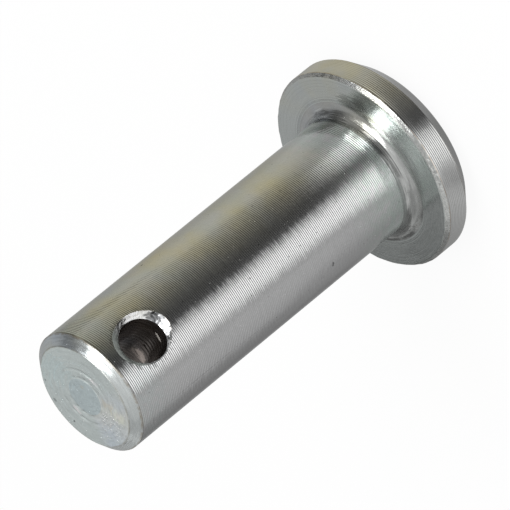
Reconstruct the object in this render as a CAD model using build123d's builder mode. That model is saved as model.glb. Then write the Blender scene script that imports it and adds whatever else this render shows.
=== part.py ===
from build123d import *
import os
from math import radians, tan

# Clevis pin, turned from one bar, in millimetres. It stands on its head: the pin's axis is +Z,
# z = 0 is the head's outer face, and the cross hole runs along Y, with its front mouth on the -Y side.

# Shank
shank_d = 12.0
grip_length = 35.5  # from the head's seat to the end of the tail
tail_chamfer_axial = 0.75
tail_chamfer_radial = 0.9

# Head
seat_width = 4.0  # how far the head stands out past the shank, all round
head_thickness = 4.0
outer_chamfer_axial = 1.5  # on the edge of the outer face
outer_chamfer_radial = 1.4
seat_chamfer_axial = 0.35  # on the edge of the seat
seat_chamfer_radial = 0.25
root_fillet_r = 1.2  # where the shank meets the seat

# Cross hole for the split pin, countersunk at both mouths
cross_hole_d = 4.2
hole_to_end = 4.9  # from the hole's axis to the end of the tail
sink_d = 5.75  # the countersink's width at the height of the shank's crest
sink_angle = 90.0
front_sink_drift_x = 0.26  # the front countersink was cut this far beside the hole's axis
sink_drift_z = 0.13  # both countersinks were cut this far towards the tail

# Worked out from the sizes above
shank_r = shank_d / 2
head_r = shank_r + seat_width
total_length = head_thickness + grip_length
hole_z = total_length - hole_to_end
root_r = min(root_fillet_r, 0.6 * (seat_width - seat_chamfer_radial))
sink_slope = tan(radians(sink_angle / 2))
cutter_r = sink_d  # the countersink cutter's own rim, which stays outside the shank


def sink_cutter_at(drift_x, mouth_side):
    """The plane on a cutter's tip, facing out of the shank on the mouth's side (-1 or +1 along Y)."""
    tip = shank_r - sink_d / 2 / sink_slope
    return Plane(origin=(drift_x, mouth_side * tip, hole_z + sink_drift_z), z_dir=(0, mouth_side, 0))


with BuildPart() as clevis_pin:
    # Half of the turned section, carried round the axis
    with BuildSketch(Plane.XZ) as half_section:
        with BuildLine():
            Polyline(
                (0, 0),
                (head_r - outer_chamfer_radial, 0),
                (head_r, outer_chamfer_axial),
                (head_r, head_thickness - seat_chamfer_axial),
                (head_r - seat_chamfer_radial, head_thickness),
                (shank_r, head_thickness),
                (shank_r, total_length - tail_chamfer_axial),
                (shank_r - tail_chamfer_radial, total_length),
                (0, total_length),
                close=True,
            )
        make_face()
        root_corner = half_section.vertices().sort_by_distance((shank_r, 0, head_thickness))[0]
        fillet(root_corner, radius=root_r)
    revolve(axis=Axis.Z)

    # The cross hole goes right through
    with Locations(Plane(origin=(0, 0, hole_z), z_dir=(0, -1, 0))):
        Hole(radius=cross_hole_d / 2)

    # A cone at each mouth: both a little towards the tail, and the front one beside the hole too
    front_cutter = sink_cutter_at(front_sink_drift_x, -1)
    back_cutter = sink_cutter_at(0, 1)
    with Locations(front_cutter, back_cutter):
        Cone(
            bottom_radius=0,
            top_radius=cutter_r,
            height=cutter_r / sink_slope,
            align=(Align.CENTER, Align.CENTER, Align.MIN),
            mode=Mode.SUBTRACT,
        )

clevis_pin.part.label = "clevis_pin"

os.makedirs("parts", exist_ok=True)
export_step(clevis_pin.part, "parts/clevis_pin.step")

print(f"clevis pin: volume {clevis_pin.part.volume:.1f} cubic mm, root fillet {root_r:.2f} mm")
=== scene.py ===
from math import hypot, pi, radians

import bmesh
import bpy
import numpy as np
from mathutils import Matrix, Vector


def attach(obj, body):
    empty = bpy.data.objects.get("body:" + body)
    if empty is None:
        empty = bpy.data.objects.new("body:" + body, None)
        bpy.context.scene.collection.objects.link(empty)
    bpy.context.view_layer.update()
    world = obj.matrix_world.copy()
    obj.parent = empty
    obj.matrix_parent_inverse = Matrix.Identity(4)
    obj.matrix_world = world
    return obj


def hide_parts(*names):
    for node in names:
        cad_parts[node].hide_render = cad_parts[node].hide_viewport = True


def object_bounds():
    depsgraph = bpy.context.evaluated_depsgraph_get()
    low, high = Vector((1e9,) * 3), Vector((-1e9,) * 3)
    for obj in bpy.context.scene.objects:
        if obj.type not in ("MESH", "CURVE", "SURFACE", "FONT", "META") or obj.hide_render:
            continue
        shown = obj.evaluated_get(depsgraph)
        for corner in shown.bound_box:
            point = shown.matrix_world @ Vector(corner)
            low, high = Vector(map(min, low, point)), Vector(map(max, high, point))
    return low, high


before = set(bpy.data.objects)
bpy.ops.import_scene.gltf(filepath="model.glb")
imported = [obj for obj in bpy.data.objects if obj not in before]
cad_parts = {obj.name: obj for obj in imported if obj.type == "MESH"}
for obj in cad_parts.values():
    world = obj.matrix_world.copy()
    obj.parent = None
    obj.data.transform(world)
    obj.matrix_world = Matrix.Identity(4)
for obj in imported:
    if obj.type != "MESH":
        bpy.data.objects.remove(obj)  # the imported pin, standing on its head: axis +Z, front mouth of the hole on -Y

cadLow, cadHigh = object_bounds()
millimetre = 0.001
print("frame loaded, box", tuple(cadLow), tuple(cadHigh))

shot = {
    "bearing": -6.26,  # degrees round the pin from -Y, towards +X
    "elevation": 30.505,  # degrees above the floor
    "roll": 129.22,  # degrees the camera is turned about its own line of sight
    "aim": (0.00020, -0.00002, 0.01768),
    "distance": 0.59633,
    "lens": 487.38,
    "sensor": 36.0,
}


def facing(bearing):
    # The level unit vector (x, y) at a bearing in degrees from -Y towards +X
    b = np.radians(bearing)
    return np.stack([np.sin(b), -np.cos(b)], -1)


def outwards(bearing, elevation):
    # The unit vector at a bearing, raised from the level by the elevation
    x, y = facing(bearing) * np.cos(radians(elevation))
    return Vector((x, y, np.sin(radians(elevation))))


def placeCamera():
    # Back from the aim point along the line of sight, level first and then rolled
    back = outwards(shot["bearing"], shot["elevation"])
    data = bpy.data.cameras.new("shotCamera")
    data.lens = shot["lens"]
    data.sensor_width = shot["sensor"]
    data.clip_start = 0.01
    data.clip_end = 20.0
    camera = bpy.data.objects.new("shotCamera", data)
    bpy.context.scene.collection.objects.link(camera)
    level = (-back).to_track_quat("-Z", "Y").to_matrix().to_4x4()
    rolled = level @ Matrix.Rotation(-radians(shot["roll"]), 4, "Z")
    camera.matrix_world = Matrix.Translation(Vector(shot["aim"]) + back * shot["distance"]) @ rolled
    bpy.context.scene.camera = camera


placeCamera()
print("camera placed")

# The pin's sizes in millimetres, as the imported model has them
pin = {
    "shankRadius": 6.0,
    "headRadius": cadHigh.x / millimetre,
    "headThickness": 4.0,
    "length": cadHigh.z / millimetre,
    "tailChamfer": (0.75, 0.9),  # along the axis, then across it
    "outerChamfer": (1.5, 1.4),
    "seatChamfer": (0.35, 0.25),
    "rootRadius": 1.2,
    "columns": 52,  # round each half of the pin
    "faceRows": 30,  # on the tail face
    "rootRows": 37,  # on the fillet under the head
    "smoothAngle": 28.0,  # degrees, past which an edge is sharp
    "seed": 7,
}
# Tool marks: feed, depth in millimetres, how uneven the depth is, and each groove's corners as (share
# of the feed towards the head, share of the depth)
cuts = {
    "turning": (0.195, 0.0175, 0.015, [(0.0, 0.0), (0.62, 0.0), (0.66, 1.0)]),
    "rimTurning": (0.195, 0.0215, 0.015, [(0.0, 0.0), (0.62, 0.0), (0.66, 1.0)]),
    "facing": (0.16, 0.003, 0.7, [(0.0, 0.0), (0.5, 1.0)]),
    "chamfering": (0.12, 0.0035, 0.7, [(0.0, 0.0), (0.5, 1.0)]),
    "outerFacing": (0.30, 0.003, 0.7, [(0.0, 0.0), (0.5, 1.0)]),
}
# Depth of the rings that the parting tool left in the tail face, in millimetres, by radius
tailRings = [(0.0, 0.030), (1.84, 0.030), (1.94, 0.075), (2.06, 0.075), (2.26, 0.030), (2.44, 0.014),
             (2.66, 0.014), (2.77, 0.070), (2.90, 0.070), (3.05, 0.024), (3.90, 0.022), (4.06, 0.012),
             (5.10, 0.0)]
# Where those rings are broken up and worn: below the depth "sound" they are whole, and deeper parts
# come and go with the noise's waves as (gain, start, most); the wear leaves a side alone
tailWear = {"sound": 0.03, "waves": 20, "breaks": (2.2, -0.4, 1.3), "middle": 1.8, "lost": 0.75,
            "bearing": 13.0, "narrow": 10}
# The side on which the shank's grooves are worn down: its bearing, the share of their depth that is
# lost, and the cosines from that bearing between which the wear sets in
wornSide = {"bearing": 75.0, "lost": 0.8, "step": (0.70, 0.94)}
# Fine tool lines round the root of the head: (degrees down from the shank, width in degrees, depth)
rootLines = [(17.0, 2.6, 0.016), (37.0, 3.0, 0.022), (62.0, 2.5, 0.003)]
# How rough each turned zone is: (depth, waves round the pin, waves across the zone)
chatter = {
    "tailFace": (0.010, 14, 5.0),
    "tailChamfer": (0.012, 26, 9.0),
    "seatEdge": (0.045, 44, 4.0),
    "outerChamfer": (0.006, 14, 4.0),
    "root": (0.006, 5, 9.0),
}
hole = {
    "radius": 2.1,
    "height": 34.6,  # the hole's axis, above the head's outer face
    "sinkRadius": 2.875,  # of the countersink, at the height of the shank's crest
    "driftAcross": 0.26,  # the front countersink beside the hole's axis
    "driftAlong": 0.13,  # both countersinks, towards the tail
    "edgeWobble": 0.02,
    "sinkRows": 12,
    "sinkChatter": 0.030,
    # Torn places in the front and back countersinks: (degrees round the hole, degrees wide, depth)
    "tears": [(-75.0, 17.0, 0.17), (-125.0, 10.0, 0.14), (28.0, 15.0, 0.10)],
    # Which way round the hole the countersink is rounded over, and by what share of its slope
    "bulge": (95.0, 0.10),
    "lip": (0.045, 40.0),  # height of the raised edge, and which way round the hole it is highest
    "boreRows": 60,
    "drillPitch": 0.52,
    "drillDepth": 0.040,
    "outlinePoints": 7200,
    "outlineReach": (1.0, 4.0),  # the least and most that the mouth can reach from the hole's axis
    "halvings": 45,
}
touching = 1e-5  # millimetres: heights this close together are one and the same
chance = np.random.default_rng(pin["seed"])
zones = ["shank", "seat", "tailFace", "root", "seatEdge", "tailChamfer", "sink", "bore", "rim",
         "outerChamfer",
         "outerFace"]


def ripple(turn, across, turnWaves, acrossWaves):
    # Even-looking noise from 0 to 1: the sum of eight sine waves round the pin and across the zone,
    # each with a whole number of waves to the turn, so that it closes on itself
    total = 0.0
    for _ in range(8):
        waves = chance.integers(1, turnWaves + 1)
        sway = chance.uniform(-1, 1) * acrossWaves * across
        total = total + np.sin(waves * turn + sway + chance.uniform(0, 2 * pi))
    return np.clip(0.5 + total / 7.0, 0.0, 1.0)


def softStep(value, low, high):
    # From 0 at low to 1 at high without a kink at either: t * t * (3 - 2 * t)
    t = np.clip((value - low) / (high - low), 0.0, 1.0)
    return t * t * (3 - 2 * t)


def run(start, end, count):
    # Points at even steps from start to end, both (z, r)
    t = np.linspace(0.0, 1.0, count + 1)[:, None]
    return np.array(start) + (np.array(end) - np.array(start)) * t


def cut(points, depth):
    # Each point moved into the metal, at right angles to the run, by its own depth
    along = points[-1] - points[0]
    along = along / np.hypot(*along)
    return points + np.outer(depth, (-along[1], along[0]))


def turned(start, end, feed, depth, uneven, corners):
    # A straight run with one groove to each feed: every groove's corners at their shares of it, sunk
    # by their shares of a depth that varies from groove to groove. Corners at no depth are its crests
    grooves = max(1, round(hypot(end[0] - start[0], end[1] - start[1]) / feed))
    shares, deep = np.array(corners).T
    place = np.append((np.arange(grooves)[:, None] + shares).ravel(), grooves)
    sunk = np.append((chance.uniform(1 - uneven, 1 + uneven, grooves)[:, None] * deep).ravel(), 0.0)
    points = np.array(start) + (np.array(end) - np.array(start)) * (place / grooves)[:, None]
    return cut(points, sunk * depth), sunk == 0


def pinProfile():
    # Half of the turned section as rows of (z, r), from the middle of the tail face, down the shank,
    # over the seat and rim, and back to the middle of the head's outer face
    r, head, thick, top = pin["shankRadius"], pin["headRadius"], pin["headThickness"], pin["length"]
    tailZ, tailR = pin["tailChamfer"]
    outZ, outR = pin["outerChamfer"]
    seatZ, seatR = pin["seatChamfer"]
    root = pin["rootRadius"]
    parts = []

    def add(zone, points, crest=None):
        crest = np.zeros(len(points), bool) if crest is None else crest.copy()
        crest[0] = crest[-1] = True
        parts.append((zone, points, crest))

    rings = np.concatenate([np.linspace(0.0, r - tailR, pin["faceRows"]), [s for s, _ in tailRings]])
    rings = np.unique(np.round(rings, 4))
    add("tailFace", np.stack([np.full(len(rings), top), rings], 1))
    add("tailChamfer", *turned((top, r - tailR), (top - tailZ, r), *cuts["chamfering"]))
    add("shank", *turned((top - tailZ, r), (thick + root, r), *cuts["turning"]))
    sweep = np.linspace(0.0, pi / 2, pin["rootRows"])
    bend = np.stack([thick + root * (1 - np.sin(sweep)), r + root * (1 - np.cos(sweep))], 1)
    toolLines = sum(deep * np.exp(-((np.degrees(sweep) - at) / wide) ** 2)
                    for at, wide, deep in rootLines)
    inwards = np.stack([-np.sin(sweep), -np.cos(sweep)], 1)
    add("root", bend + inwards * toolLines[:, None])
    add("seat", *turned((thick, r + root), (thick, head - seatR), *cuts["facing"]))
    add("seatEdge", run((thick, head - seatR), (thick - seatZ, head), 4))
    add("rim", *turned((thick - seatZ, head), (outZ, head), *cuts["rimTurning"]))
    add("outerChamfer", *turned((outZ, head), (0.0, head - outR), *cuts["chamfering"]))
    add("outerFace", *turned((0.0, head - outR), (0.0, 0.0), *cuts["outerFacing"]))
    return parts


def mouthOutline(driftX):
    # Where the mouth meets the shank, as (x, z) round the hole. The countersink's radius shrinks as
    # the shank's surface falls away from its crest, so each direction's reach is found by halving
    angle = np.linspace(0.0, 2 * pi, hole["outlinePoints"], endpoint=False)
    ux, uz = np.cos(angle), np.sin(angle)
    low, high = (np.full(len(angle), most) for most in hole["outlineReach"])
    for _ in range(hole["halvings"]):
        reach = (low + high) / 2
        drop = pin["shankRadius"] - np.sqrt(pin["shankRadius"] ** 2 - (reach * ux) ** 2)
        away = np.hypot(reach * ux - driftX, reach * uz - hole["driftAlong"])
        outside = away > hole["sinkRadius"] - drop
        low, high = np.where(outside, low, reach), np.where(outside, reach, high)
    reach = np.maximum(low, hole["radius"])
    return reach * ux, hole["height"] + reach * uz


def mouthSides(driftX, heights, mouthTop, mouthBottom):
    # The outline's two x values at each height, on its -X and +X sides, as angles round the shank.
    # The cut's edge wanders a little, less and less towards its two ends, where both sides meet
    x, z = mouthOutline(driftX)
    tipX = (x[z.argmax()] + x[z.argmin()]) / 2
    level = np.clip((heights - mouthBottom) / (mouthTop - mouthBottom) * 2 - 1, -1.0, 1.0)
    ended = (heights >= mouthTop - touching) | (heights <= mouthBottom + touching)
    sides = []
    for chosen in (x <= tipX, x >= tipX):
        order = np.argsort(z[chosen])
        wander = (ripple(heights * 2.0, 0.0, 9, 0.0) - 0.5) * 2 * hole["edgeWobble"] * (1 - level ** 4)
        side = np.interp(heights, z[chosen][order], x[chosen][order]) + wander
        sides.append(np.arcsin(np.where(ended, tipX, side) / pin["shankRadius"]))
    return sides


def splitRows(rows, ridge, extra):
    # The rows with more put in between at the extra heights, on the straight lines that join them
    heights = np.unique(np.round(np.concatenate([rows[:, 0], extra]), 6))[::-1]
    radius = np.interp(-heights, -rows[:, 0], rows[:, 1])
    near = np.abs(rows[:, 0][None, :] - heights[:, None])
    crest = ridge[near.argmin(1)] & (near.min(1) < touching)
    return np.stack([heights, radius], 1), crest


def bodyRows(mouthTop, mouthBottom):
    # The whole section as one list of rows, with rows exactly at the mouths' ends and a few close by,
    # where the outline turns: (rows, which of them are crests, zone of each band between rows)
    reach = (mouthTop - mouthBottom) / 2
    rounding = reach * (1 - np.cos(np.radians([0.0, 3.0, 6.0, 9.5, 13.0])))
    extra = np.concatenate([mouthTop - rounding, mouthBottom + rounding])
    rows, crests, bands = [], [], []
    for zone, points, crest in pinProfile():
        if zone == "shank":
            clash = np.abs(points[:, :1] - extra[None, :]).min(1) < 0.006
            keep = crest | ~clash
            points, crest = splitRows(points[keep], crest[keep], extra)
        start = 1 if rows else 0
        rows.append(points[start:])
        crests.append(crest[start:])
        if start:
            crests[-2][-1] = True
        bands += [zones.index(zone)] * (len(points) - 1)
    return np.concatenate(rows), np.concatenate(crests), np.array(bands)


def relief(rows, bands, turn):
    # How deep each point of the body is sunk: the tail face's rings, deeper towards two sides and broken
    # up round the pin, and each zone's chatter. Rows at a zone's ends take the larger of their two bands.
    # On the worn side the shank's grooves are raised again by a share of their depth, with a soft step
    # of the cosine of the angle from the worn side's bearing
    depth = np.zeros(turn.shape)
    for zone, (deep, waves, across) in chatter.items():
        inZone = bands == zones.index(zone)
        touched = np.append(inZone, False) | np.append(False, inZone)
        along = np.hypot(*(rows[touched] - rows[touched][0]).T)[:, None]
        depth[touched] = np.maximum(depth[touched], deep * ripple(turn[touched], along, waves, across))
    grooves = np.append(bands == zones.index("shank"), False)
    away = np.cos(turn[grooves] - radians(wornSide["bearing"]))
    sunk = pin["shankRadius"] - rows[grooves, 1:]
    depth[grooves] -= sunk * wornSide["lost"] * softStep(away, *wornSide["step"])
    face = np.append(bands == zones.index("tailFace"), False)
    gain, start, most = tailWear["breaks"]
    broken = np.clip(gain * ripple(turn[face], 0.0, tailWear["waves"], 0.0) + start, 0.0, most)
    ring = np.interp(rows[face, 1], *zip(*tailRings))[:, None]
    ring = np.minimum(ring, tailWear["sound"]) + np.maximum(ring - tailWear["sound"], 0.0) * broken
    outer = np.minimum(rows[face, 1:] / tailWear["middle"], 1.0)
    spared = np.cos(turn[face] - radians(tailWear["bearing"])) ** tailWear["narrow"]
    worn = tailWear["lost"] * outer * (1 - spared)
    depth[face] = depth[face] * outer + ring * (1 - worn)
    return depth


def inwardNormals(rows):
    # Unit vectors (z, r) into the metal, at right angles to the line from the row before to the row after
    along = np.gradient(rows, axis=0)
    along /= np.hypot(*along.T)[:, None]
    return np.stack([-along[:, 1], along[:, 0]], 1)


def gridFaces(rowCount, columnCount, first):
    # Quads of a grid of rows and columns, numbered from its first point
    at = first + np.arange(rowCount * columnCount).reshape(rowCount, columnCount)
    return np.stack([at[:-1, :-1], at[:-1, 1:], at[1:, 1:], at[1:, :-1]], -1).reshape(-1, 4)


def addGrid(parts, grid, bands, crests=None):
    # One more grid for the mesh: its points, its faces, the zone of each band, and which rows are crests
    rowCount, columnCount = grid.shape[:2]
    crests = np.full(rowCount, -1) if crests is None else crests
    parts["points"].append(grid.reshape(-1, 3))
    parts["faces"].append(gridFaces(rowCount, columnCount, sum(len(p) for p in parts["points"][:-1])))
    parts["ridge"].append(np.repeat(crests, columnCount))
    parts["zone"].append(np.repeat(bands, columnCount - 1))


def sinkGrid(loop, driftX, mouthY):
    # From the mouth's outline straight down the cone to the bore: the cone's slope is 45 degrees, so its
    # depth below the shank's crest is how far its radius has shrunk. The cutter's chatter and tears sink
    # it further, and towards one side it is rounded over, by a half sine wave of its slope
    outX, outZ = loop[:, 0] - driftX, loop[:, 2] - hole["height"] - hole["driftAlong"]
    far = np.hypot(outX, outZ)
    ux, uz = outX / far, outZ / far
    lean = driftX * ux + hole["driftAlong"] * uz
    near = -lean + np.sqrt(lean ** 2 - driftX ** 2 - hole["driftAlong"] ** 2 + hole["radius"] ** 2)
    near = np.minimum(near, far - 0.02)
    tipDepth = pin["shankRadius"] - hole["sinkRadius"]
    edge = np.stack([driftX + near * ux, mouthY * (tipDepth + near),
                     hole["height"] + hole["driftAlong"] + near * uz], 1)
    across = np.linspace(0.0, 1.0, hole["sinkRows"] + 1)[:, None]
    grid = loop[None] + (edge - loop)[None] * across[..., None]
    fade = np.sin(pi * across)
    turn = np.arctan2(uz, ux)[None]
    bite = hole["sinkChatter"] * fade * ripple(turn + 0 * across, across, 24, 5.0)
    for towards, wide, deep in hole["tears"]:
        off = (np.degrees(turn) - towards + 180.0) % 360.0 - 180.0
        bite += deep * fade * np.exp(-(off / wide) ** 2) * ripple(turn + 0 * across, across, 46, 9.0) ** 2
    towards, share = hole["bulge"]
    slope = np.linalg.norm(edge - loop, axis=1)[None]
    bite -= share * slope * fade * np.clip(1.6 * np.cos(turn - radians(towards)), 0.0, 1.0)
    ahead = np.stack([ux, 0 * ux, uz], 1)[None] - np.array([0.0, mouthY, 0.0])
    grid = grid + ahead * bite[..., None] * np.sqrt(0.5)
    height, towards = hole["lip"]
    grid[1, :, 1] += mouthY * height * np.clip(np.cos(turn[0] - radians(towards)), 0.0, 1.0)
    return grid, edge


def boreGrid(front, back):
    # Lines from one inner edge to the other, turned about the hole's axis as they go, with the drill's
    # rings as a cosine wave of the radius that fades out at both ends
    turnOf = [np.arctan2(e[:, 2] - hole["height"], e[:, 0]) for e in (front, back)]
    shift = (turnOf[1] - turnOf[0] + pi) % (2 * pi) - pi
    through = np.linspace(0.0, 1.0, hole["boreRows"] + 1)[:, None]
    angle = turnOf[0][None] + shift[None] * through
    y = front[None, :, 1] + (back[:, 1] - front[:, 1])[None] * through
    rings = 2 * pi * (y + 0.06 * np.sin(angle)) / hole["drillPitch"]
    wave = (0.5 - 0.5 * np.cos(rings)) * hole["drillDepth"]
    wave = wave * (0.1 + 2.0 * ripple(angle, y, 4, 2.5) ** 2)
    fade = np.minimum(1.0, np.minimum(through, 1.0 - through) * 12.0)
    ends = [np.hypot(e[:, 0], e[:, 2] - hole["height"])[None] for e in (front, back)]
    radius = ends[0] * (1 - through) + ends[1] * through + wave * fade
    return np.stack([radius * np.cos(angle), y, hole["height"] + radius * np.sin(angle)], -1)


def buildPin():
    # The turned body in two halves between the mouths, then the countersinks and the bore
    outlineZ = mouthOutline(hole["driftAcross"])[1]
    mouthTop, mouthBottom = outlineZ.max(), outlineZ.min()
    rows, crests, bands = bodyRows(mouthTop, mouthBottom)
    heights, radii = rows.T
    frontLeft, frontRight = mouthSides(hole["driftAcross"], heights, mouthTop, mouthBottom)
    backLeft, backRight = mouthSides(0.0, heights, mouthTop, mouthBottom)
    tip = (frontLeft[0] + frontRight[0]) / 2
    atMouth = (heights <= mouthTop + touching) & (heights >= mouthBottom - touching)
    grooved = np.isin(np.append(bands, -1), [zones.index("shank"), zones.index("rim")])
    share = np.linspace(0.0, 1.0, pin["columns"] + 1)[None, :]
    into = inwardNormals(rows)
    parts = {"points": [], "faces": [], "ridge": [], "zone": []}
    loops = {}
    state = chance.bit_generator.state
    for side, front, back in ((1, frontRight, pi - backRight), (-1, frontLeft, -pi - backLeft)):
        front = np.where(atMouth, front, tip)
        back = np.where(atMouth, back, side * pi)
        angle = front[:, None] + (back - front)[:, None] * share
        chance.bit_generator.state = state  # the same chatter on both halves, so that they meet
        depth = relief(rows, bands, angle)
        r = radii[:, None] + into[:, 1:] * depth
        z = heights[:, None] + into[:, :1] * depth
        grid = np.stack([r * np.sin(angle), -r * np.cos(angle), z], -1)
        addGrid(parts, grid, bands, np.where(crests | grooved, np.arange(len(rows)), -1))
        loops[side] = grid[atMouth][:, [0, -1]]

    edges = []
    for end, driftX, mouthY in ((0, hole["driftAcross"], -1.0), (1, 0.0, 1.0)):
        loop = np.concatenate([loops[1][:, end], loops[-1][1:-1, end][::-1], loops[1][:1, end]])
        sink, edge = sinkGrid(loop, driftX, mouthY)
        addGrid(parts, sink, np.full(hole["sinkRows"], zones.index("sink")))
        edges.append(edge)
    addGrid(parts, boreGrid(*edges), np.full(hole["boreRows"], zones.index("bore")))
    return [np.concatenate(parts[name]) for name in ("points", "faces", "ridge", "zone")]


def weldedPin():
    # The grids as one closed mesh: shared edges merged, faces outwards, edges of the grooves sharp
    points, faces, ridgeOf, faceZones = buildPin()
    mesh = bpy.data.meshes.new("pinBody")
    mesh.from_pydata((points * millimetre).tolist(), [], faces.tolist())
    mesh.polygons.foreach_set("material_index", faceZones.astype(np.int32))
    ridge = mesh.attributes.new("ridge", "INT", "POINT")
    ridge.data.foreach_set("value", ridgeOf.astype(np.int32))
    work = bmesh.new()
    work.from_mesh(mesh)
    bmesh.ops.remove_doubles(work, verts=work.verts, dist=0.0002 * millimetre)
    bmesh.ops.dissolve_degenerate(work, edges=work.edges, dist=0.00001 * millimetre)
    bmesh.ops.recalc_face_normals(work, faces=work.faces)
    openEdges = sum(1 for e in work.edges if not e.is_manifold)
    work.to_mesh(mesh)
    work.free()
    mesh.polygons.foreach_set("use_smooth", np.ones(len(mesh.polygons), bool))
    mesh.set_sharp_from_angle(angle=radians(pin["smoothAngle"]))
    ends = np.empty(len(mesh.edges) * 2, np.int32)
    mesh.edges.foreach_get("vertices", ends)
    ends = ends.reshape(-1, 2)
    ridgeNow = np.empty(len(mesh.vertices), np.int32)
    mesh.attributes["ridge"].data.foreach_get("value", ridgeNow)
    if "sharp_edge" not in mesh.attributes:
        mesh.attributes.new("sharp_edge", "BOOLEAN", "EDGE")
    sharp = np.zeros(len(mesh.edges), bool)
    mesh.attributes["sharp_edge"].data.foreach_get("value", sharp)
    sharp |= (ridgeNow[ends[:, 0]] == ridgeNow[ends[:, 1]]) & (ridgeNow[ends[:, 0]] >= 0)
    mesh.attributes["sharp_edge"].data.foreach_set("value", sharp)
    mesh.attributes.remove(mesh.attributes["ridge"])
    mesh.update()
    triangles = sum(len(p.vertices) - 2 for p in mesh.polygons)
    print("pin mesh:", len(mesh.vertices), "points,", triangles, "triangles,", openEdges, "open edges")
    return mesh


pinBody = bpy.data.objects.new("pinBody", weldedPin())
bpy.context.scene.collection.objects.link(pinBody)
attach(pinBody, "root")
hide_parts("clevis_pin")


noiseGain = 4.0  # noise strays about a quarter from its middle, and this makes that a full share


def plugged(tree, slot, value):
    # A socket is linked to the slot, and anything else becomes the slot's own value
    if isinstance(value, bpy.types.NodeSocket):
        tree.links.new(value, slot)
    else:
        slot.default_value = value


def maths(tree, operation, *values):
    node = tree.nodes.new("ShaderNodeMath")
    node.operation = operation
    for slot, value in zip(node.inputs, values):
        plugged(tree, slot, value)
    return node.outputs[0]


def times(tree, a, b):
    return maths(tree, "MULTIPLY", a, b)


def minus(tree, a, b):
    return maths(tree, "SUBTRACT", a, b)


def scaled(tree, value, gain, start):
    # value * gain + start
    return maths(tree, "MULTIPLY_ADD", value, gain, start)


def vectorMaths(tree, operation, *values, result=0):
    node = tree.nodes.new("ShaderNodeVectorMath")
    node.operation = operation
    slots = [node.inputs[3]] if operation == "SCALE" else node.inputs[1:]
    for slot, value in zip([node.inputs[0], *slots], values):
        plugged(tree, slot, value)
    return node.outputs[result]


def levelPart(tree, place):
    # The place moved level to the pin's axis: its height is set to 0
    return vectorMaths(tree, "MULTIPLY", place, (1.0, 1.0, 0.0))


def towardsSide(tree, place, side, low, high):
    # A soft step round the pin, by the cosine between the place's bearing and the side's
    bearing = vectorMaths(tree, "NORMALIZE", levelPart(tree, place))
    return smoothed(tree, vectorMaths(tree, "DOT_PRODUCT", bearing, side, result=1), low, high)


def smoothed(tree, value, low, high, fromSide=0.0, toSide=1.0):
    # A soft step from one side's value at low to the other's at high
    node = tree.nodes.new("ShaderNodeMapRange")
    node.interpolation_type = "SMOOTHSTEP"
    for slot, given in zip(node.inputs, (value, low, high, fromSide, toSide)):
        plugged(tree, slot, given)
    return node.outputs[0]


def blended(tree, factor, a, b, way="MIX"):
    # A colour between a and b, or a multiplied by b, by the factor
    node = tree.nodes.new("ShaderNodeMix")
    node.data_type = "RGBA"
    node.blend_type = way
    for slot, value in ((node.inputs[0], factor), (node.inputs[6], a), (node.inputs[7], b)):
        plugged(tree, slot, value)
    return node.outputs[2]


def noised(tree, vector, scale, detail=2.0):
    node = tree.nodes.new("ShaderNodeTexNoise")
    plugged(tree, node.inputs["Vector"], vector)
    node.inputs["Scale"].default_value = scale
    node.inputs["Detail"].default_value = detail
    return node.outputs["Fac"]


def drawnOut(tree, given, detail):
    # Noise drawn out round the axis and packed close across the cut: at (level place * Round) with
    # Across * Close for its height
    packed = tree.nodes.new("ShaderNodeCombineXYZ")
    plugged(tree, packed.inputs[2], times(tree, given["Across"], given["Close"]))
    stretched = vectorMaths(tree, "SCALE", levelPart(tree, given["Place"]), given["Round"])
    return noised(tree, vectorMaths(tree, "ADD", stretched, packed.outputs[0]), 1.0, detail)


def effectGroup(name, inputs, outputs):
    # An empty node group with the named sockets, as (group, its inputs, its outputs). One number makes
    # a value socket, three a vector and four a colour
    group = bpy.data.node_groups.new(name, "ShaderNodeTree")
    kinds = {1: "NodeSocketFloat", 3: "NodeSocketVector", 4: "NodeSocketColor"}
    for socketName, value in inputs.items():
        kind = kinds[np.size(value)]
        made = group.interface.new_socket(name=socketName, in_out="INPUT", socket_type=kind)
        made.default_value = value
    for socketName, kind in outputs.items():
        group.interface.new_socket(name=socketName, in_out="OUTPUT", socket_type="NodeSocket" + kind)
    return group, group.nodes.new("NodeGroupInput").outputs, group.nodes.new("NodeGroupOutput").inputs


origin = (0.0, 0.0, 0.0)
grey = (0.6, 0.6, 0.6, 1.0)


def pinPlaceGroup():
    # Object coordinates as millimetres, with the height and the distance from the pin's axis
    group, given, made = effectGroup("pinPlace", {"Object": origin},
                                     {"Place": "Vector", "Height": "Float", "Radius": "Float"})
    place = vectorMaths(group, "SCALE", given["Object"], 1.0 / millimetre)
    split = group.nodes.new("ShaderNodeSeparateXYZ")
    plugged(group, split.inputs[0], place)
    plugged(group, made["Place"], place)
    plugged(group, made["Height"], split.outputs[2])
    plugged(group, made["Radius"], vectorMaths(group, "LENGTH", levelPart(group, place), result=1))
    return group


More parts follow.
